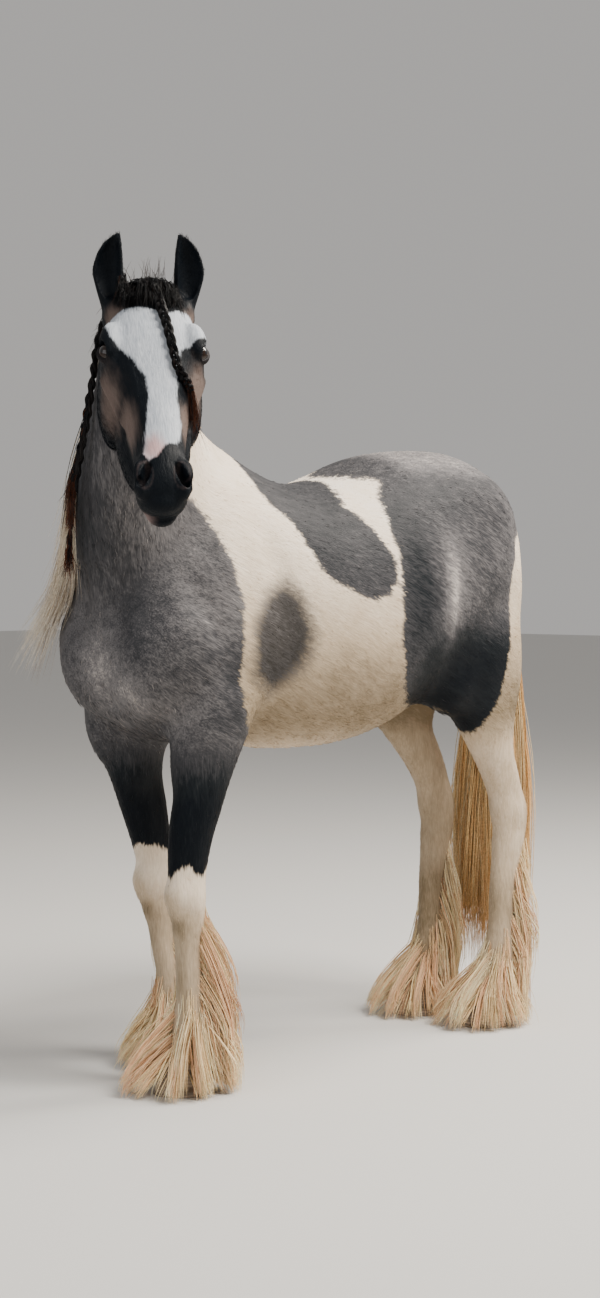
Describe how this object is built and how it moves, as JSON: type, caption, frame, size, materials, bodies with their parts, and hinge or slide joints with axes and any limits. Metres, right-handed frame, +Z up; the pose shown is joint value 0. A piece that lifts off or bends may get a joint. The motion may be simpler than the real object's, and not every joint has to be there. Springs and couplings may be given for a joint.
{
  "type": "horse model",
  "caption": "Standing blue roan and white cob horse, life-size still model, head turned left, with long mane, forelock braid, full tail and feathered legs.",
  "frame": {"origin": "middle of the whole model's box, on the floor that the hooves stand on", "axes": "+Z up, the trunk faces -Y, the horse's left side is +X"},
  "size_m": [0.9562, 1.9954, 1.9141],
  "materials": {
    "coat_grey": "short blue-roan horse hair, dark grey with light hairs through it, satin",
    "coat_cream": "short white to cream horse hair with grey roan patches, satin",
    "coat_black": "short black horse hair with a white blaze, satin",
    "hair_cream": "long cream horse hair in tapered locks, satin",
    "horn": "pale hoof horn, matt with fine growth rings",
    "eye": "dark brown eye, wet and glossy"
  },
  "bodies": {
    "root": {"ear_left": "coat_black", "ear_right": "coat_black", "eye_left": "eye", "eye_right": "eye", "head": "coat_black", "hoof_front_left": "horn", "hoof_front_right": "horn", "hoof_hind_left": "horn", "hoof_hind_right": "horn", "lower_leg_front_left": "hair_cream", "lower_leg_front_right": "hair_cream", "lower_leg_hind_left": "hair_cream", "lower_leg_hind_right": "hair_cream", "neck": "coat_grey", "tail": "hair_cream", "torso": "coat_cream", "upper_leg_front_left": "coat_grey", "upper_leg_front_right": "coat_grey", "upper_leg_hind_left": "coat_grey", "upper_leg_hind_right": "coat_grey"}
  },
  "joints": []
}
